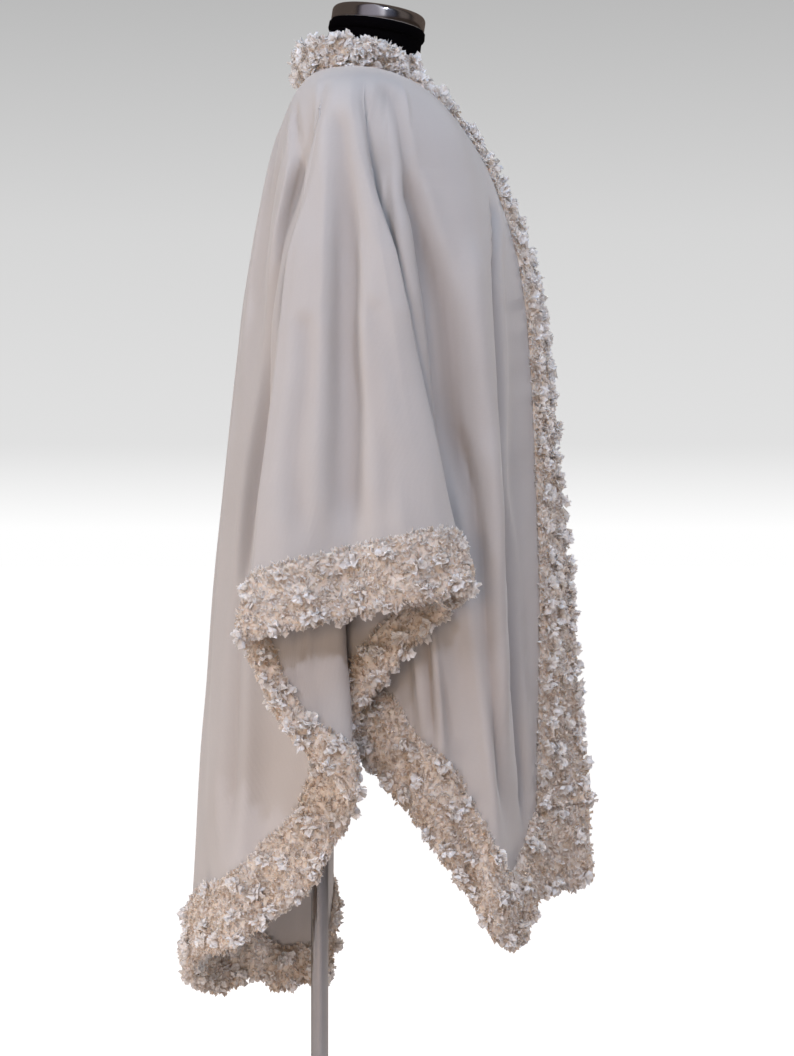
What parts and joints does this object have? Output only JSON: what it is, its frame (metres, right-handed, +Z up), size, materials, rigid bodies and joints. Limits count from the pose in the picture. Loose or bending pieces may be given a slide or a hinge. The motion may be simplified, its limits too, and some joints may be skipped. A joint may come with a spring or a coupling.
{
  "type": "open front cape on a dress form",
  "caption": "Long open-front wool ruana cape with a wide ruffled ribbon border, worn on a limbless dress form with a pole stand.",
  "frame": {"origin": "centre of the stand's base at its underside, on the floor", "axes": "+Z up along the neck, -Y the way the wearer faces, -X the wearer's right"},
  "size_m": [0.5129, 0.472, 1.5139],
  "materials": {
    "cream_wool": "soft brushed wool, matt",
    "ivory_ribbon": "ruffled ribbon tufts with small beads",
    "black_jersey": "black stretch jersey",
    "chrome": "polished"
  },
  "bodies": {
    "root": {"cape_cloth": "cream_wool", "hem_trim_right": "ivory_ribbon", "hem_trim_left": "ivory_ribbon", "front_trim_right": "ivory_ribbon", "front_trim_left": "ivory_ribbon", "neck_trim": "ivory_ribbon", "form_torso": "black_jersey", "form_neck_cap": "chrome", "stand_pole": "chrome", "stand_base": "chrome"}
  },
  "joints": []
}
